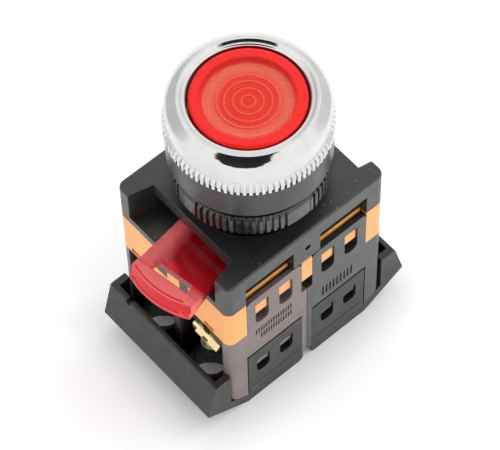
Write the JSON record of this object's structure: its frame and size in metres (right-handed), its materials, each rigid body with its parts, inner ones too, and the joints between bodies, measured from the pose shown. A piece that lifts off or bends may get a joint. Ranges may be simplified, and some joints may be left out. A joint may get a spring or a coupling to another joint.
{
  "type": "push button",
  "caption": "Panel-mount illuminated push button: chromed knurled ring, red lens, nut, locking lever, bright frame and side-by-side contact blocks with clip-on covers.",
  "frame": {"origin": "on the button's axis, in the plane of the flange's underside, where the head sits on the panel", "axes": "+Z along the button's axis, out of the panel; the contact blocks stand side by side along X; the locking lever points to -X"},
  "size_m": [0.0504, 0.0296, 0.0701],
  "materials": {
    "chrome": "polished",
    "lens_red": "clear gloss",
    "diffuser_white": "satin",
    "head_black": "satin",
    "seal_rubber": "matte",
    "nut_black": "satin",
    "socket_white": "satin",
    "brass": "plated",
    "lamp_glass": "clear",
    "adapter_black": "fine grain",
    "lever_red": "translucent gloss",
    "frame_orange": "satin",
    "block_brown": "satin",
    "block_grey": "satin",
    "cover_grey": "satin",
    "plunger_white": "satin",
    "rod_white": "satin",
    "spring_steel": "bright wire",
    "contact_brass": "bright",
    "screw_steel": "yellow passivated"
  },
  "bodies": {
    "housing": {"head_body": "head_black", "panel_gasket": "seal_rubber", "return_spring": "spring_steel", "lamp_holder": "socket_white", "lamp_base": "brass", "lamp_bulb": "lamp_glass", "adapter": "adapter_black", "spacer_frame": "frame_orange", "contact_block_left": "block_brown", "contact_block_right": "block_grey", "terminal_cover_left": "cover_grey", "terminal_cover_right": "cover_grey", "rod_spring_left": "spring_steel", "rod_spring_right": "spring_steel", "fixed_contact_left_back": "contact_brass", "fixed_contact_left_front": "contact_brass", "fixed_contact_right_back": "contact_brass", "fixed_contact_right_front": "contact_brass"},
    "button": {"plunger": "plunger_white", "diffuser": "diffuser_white", "lens_cap": "lens_red"},
    "bezel": {"bezel": "chrome"},
    "nut": {"mounting_nut": "nut_black"},
    "lever": {"lock_lever": "lever_red"},
    "rod_left": {"push_rod_left": "rod_white", "contact_bridge_left": "contact_brass"},
    "rod_right": {"push_rod_right": "rod_white", "contact_bridge_right": "contact_brass"},
    "clamp_left_back": {"clamp_washer_left_back": "brass", "terminal_screw_left_back": "screw_steel"},
    "clamp_left_front": {"clamp_washer_left_front": "brass", "terminal_screw_left_front": "screw_steel"},
    "clamp_right_back": {"clamp_washer_right_back": "brass", "terminal_screw_right_back": "screw_steel"},
    "clamp_right_front": {"clamp_washer_right_front": "brass", "terminal_screw_right_front": "screw_steel"}
  },
  "joints": [
    {"name": "button_press", "type": "slide", "parent": "housing", "child": "button", "axis": [0, 0, -1], "range_m": [0, 0.0035], "stiffness_N_per_m": 400, "springref_m": -0.004, "deforming": ["return_spring"]},
    {"name": "rod_left_press", "type": "slide", "parent": "housing", "child": "rod_left", "axis": [0, 0, -1], "range_m": [0, 0.0035], "stiffness_N_per_m": 80, "springref_m": -0.004, "deforming": ["rod_spring_left"]},
    {"name": "rod_right_press", "type": "slide", "parent": "housing", "child": "rod_right", "axis": [0, 0, -1], "range_m": [0, 0.0035], "stiffness_N_per_m": 80, "springref_m": -0.004, "deforming": ["rod_spring_right"]},
    {"name": "lever_turn", "type": "hinge", "parent": "housing", "child": "lever", "pos_m": [0, 0, -0.0168], "axis": [0, 0, -1], "range_deg": [0, 21]},
    {"name": "nut_turn", "type": "hinge", "parent": "housing", "child": "nut", "pos_m": [0, 0, -0.0044], "axis": [0, 0, 1], "range_deg": [-240, 960]},
    {"name": "bezel_turn", "type": "hinge", "parent": "housing", "child": "bezel", "pos_m": [0, 0, 0.01], "axis": [0, 0, 1], "range_deg": [0, 360]},
    {"name": "clamp_left_back_rise", "type": "slide", "parent": "housing", "child": "clamp_left_back", "axis": [0, 0, 1], "range_m": [0, 0.002]},
    {"name": "clamp_left_front_rise", "type": "slide", "parent": "housing", "child": "clamp_left_front", "axis": [0, 0, 1], "range_m": [0, 0.002]},
    {"name": "clamp_right_back_rise", "type": "slide", "parent": "housing", "child": "clamp_right_back", "axis": [0, 0, 1], "range_m": [0, 0.002]},
    {"name": "clamp_right_front_rise", "type": "slide", "parent": "housing", "child": "clamp_right_front", "axis": [0, 0, 1], "range_m": [0, 0.002]}
  ],
  "couplings": [
    {"joint": "rod_left_press", "follows": "button_press", "ratio": 1},
    {"joint": "rod_right_press", "follows": "button_press", "ratio": 1}
  ]
}
